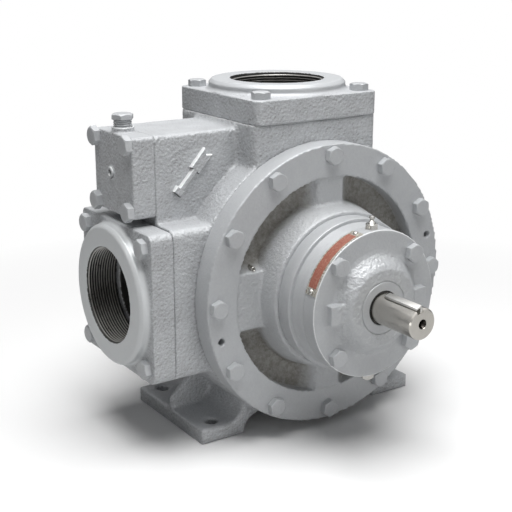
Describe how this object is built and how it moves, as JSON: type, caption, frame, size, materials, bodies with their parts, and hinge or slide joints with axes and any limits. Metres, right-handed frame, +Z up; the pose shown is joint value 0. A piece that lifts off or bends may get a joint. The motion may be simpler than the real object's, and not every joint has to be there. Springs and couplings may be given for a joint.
{
  "type": "vane pump",
  "caption": "Foot-mounted sliding vane pump with threaded square port flanges on top and side, built-in relief valve and a keyed drive shaft.",
  "frame": {"origin": "on the mounting plane, in the middle of the four foot holes", "axes": "+Z up, the shaft along Y with its drive end pointing to -Y, the side port pointing to -X"},
  "size_m": [0.395, 0.466, 0.402],
  "materials": {
    "cast_paint": "silver-grey paint over rough sand-cast iron",
    "machined_paint": "silver-grey paint over machined faces",
    "bolt_paint": "silver-grey paint over hex bolts",
    "shaft_steel": "ground bare steel",
    "bearing_steel": "polished",
    "chamber_iron": "machined, unpainted",
    "vane_composite": "laminated composite",
    "rubber_black": "matt",
    "seal_carbon": "lapped carbon",
    "seal_steel": "turned",
    "spring_steel": "drawn wire",
    "fitting_bright": "zinc plated"
  },
  "bodies": {
    "pump_body": {"casing": "cast_paint", "front_head": "cast_paint", "rear_head": "cast_paint", "front_bearing_housing": "machined_paint", "rear_bearing_housing": "machined_paint", "front_bearing_cover": "cast_paint", "rear_bearing_cover": "cast_paint", "top_flange": "cast_paint", "side_flange": "cast_paint", "relief_valve_cover": "cast_paint", "liner": "chamber_iron", "front_side_plate": "chamber_iron", "rear_side_plate": "chamber_iron", "front_bearing_outer_race": "bearing_steel", "rear_bearing_outer_race": "bearing_steel", "front_seal_seat": "seal_carbon", "rear_seal_seat": "seal_carbon", "shaft_lip_seal": "machined_paint", "front_head_ring": "rubber_black", "rear_head_ring": "rubber_black", "top_flange_gasket": "rubber_black", "side_flange_gasket": "rubber_black", "valve_cover_gasket": "rubber_black", "valve_seat": "seal_steel", "valve_spring": "spring_steel", "valve_spring_guide": "seal_steel", "front_head_bolts": "bolt_paint", "rear_head_bolts": "bolt_paint", "front_cover_bolts": "bolt_paint", "rear_cover_bolts": "bolt_paint", "top_flange_bolts": "bolt_paint", "side_flange_bolts": "bolt_paint", "valve_cover_bolts": "bolt_paint", "gauge_plug": "bolt_paint", "front_grease_fitting": "fitting_bright", "front_grease_relief": "fitting_bright", "rear_grease_fitting": "fitting_bright", "web_bleed_fitting": "fitting_bright"},
    "shaft_line": {"shaft": "shaft_steel", "drive_key": "shaft_steel", "rotor": "chamber_iron", "rotor_key": "shaft_steel", "front_bearing_inner_race": "bearing_steel", "rear_bearing_inner_race": "bearing_steel", "front_seal_head": "seal_steel", "rear_seal_head": "seal_steel", "front_locknut": "seal_steel", "rear_locknut": "seal_steel"},
    "front_balls": {"front_bearing_balls": "bearing_steel"},
    "rear_balls": {"rear_bearing_balls": "bearing_steel"},
    "relief_poppet": {"valve_poppet": "seal_steel"},
    "sliding_vane_1": {"vane_1": "vane_composite"},
    "sliding_vane_2": {"vane_2": "vane_composite"},
    "sliding_vane_3": {"vane_3": "vane_composite"},
    "sliding_vane_4": {"vane_4": "vane_composite"},
    "sliding_vane_5": {"vane_5": "vane_composite"},
    "sliding_vane_6": {"vane_6": "vane_composite"}
  },
  "joints": [
    {"name": "shaft_spin", "type": "hinge", "parent": "pump_body", "child": "shaft_line", "pos_m": [0, 0, 0.174], "axis": [0, -1, 0], "continuous": true},
    {"name": "front_balls_roll", "type": "hinge", "parent": "pump_body", "child": "front_balls", "pos_m": [0, -0.1585, 0.174], "axis": [0, -1, 0], "continuous": true},
    {"name": "rear_balls_roll", "type": "hinge", "parent": "pump_body", "child": "rear_balls", "pos_m": [0, 0.1585, 0.174], "axis": [0, -1, 0], "continuous": true},
    {"name": "vane_1_slide", "type": "slide", "parent": "shaft_line", "child": "sliding_vane_1", "axis": [0.866, 0, 0.5], "range_m": [0, 0.0076]},
    {"name": "vane_2_slide", "type": "slide", "parent": "shaft_line", "child": "sliding_vane_2", "axis": [0, 0, 1], "range_m": [0, 0.003]},
    {"name": "vane_3_slide", "type": "slide", "parent": "shaft_line", "child": "sliding_vane_3", "axis": [-0.866, 0, 0.5], "range_m": [0, 0.0005]},
    {"name": "vane_4_slide", "type": "slide", "parent": "shaft_line", "child": "sliding_vane_4", "axis": [-0.866, 0, -0.5], "range_m": [0, 0.0076]},
    {"name": "vane_5_slide", "type": "slide", "parent": "shaft_line", "child": "sliding_vane_5", "axis": [0, 0, 1], "range_m": [-0.0184, 0]},
    {"name": "vane_6_slide", "type": "slide", "parent": "shaft_line", "child": "sliding_vane_6", "axis": [-0.866, 0, 0.5], "range_m": [-0.0076, 0]},
    {"name": "relief_valve_slide", "type": "slide", "parent": "pump_body", "child": "relief_poppet", "axis": [-1, 0, 0], "range_m": [0, 0.012], "stiffness_N_per_m": 15000, "springref_m": -0.02, "deforming": ["valve_spring"]}
  ],
  "couplings": [
    {"joint": "front_balls_roll", "follows": "shaft_spin", "ratio": 0.3846},
    {"joint": "rear_balls_roll", "follows": "shaft_spin", "ratio": 0.3846}
  ]
}
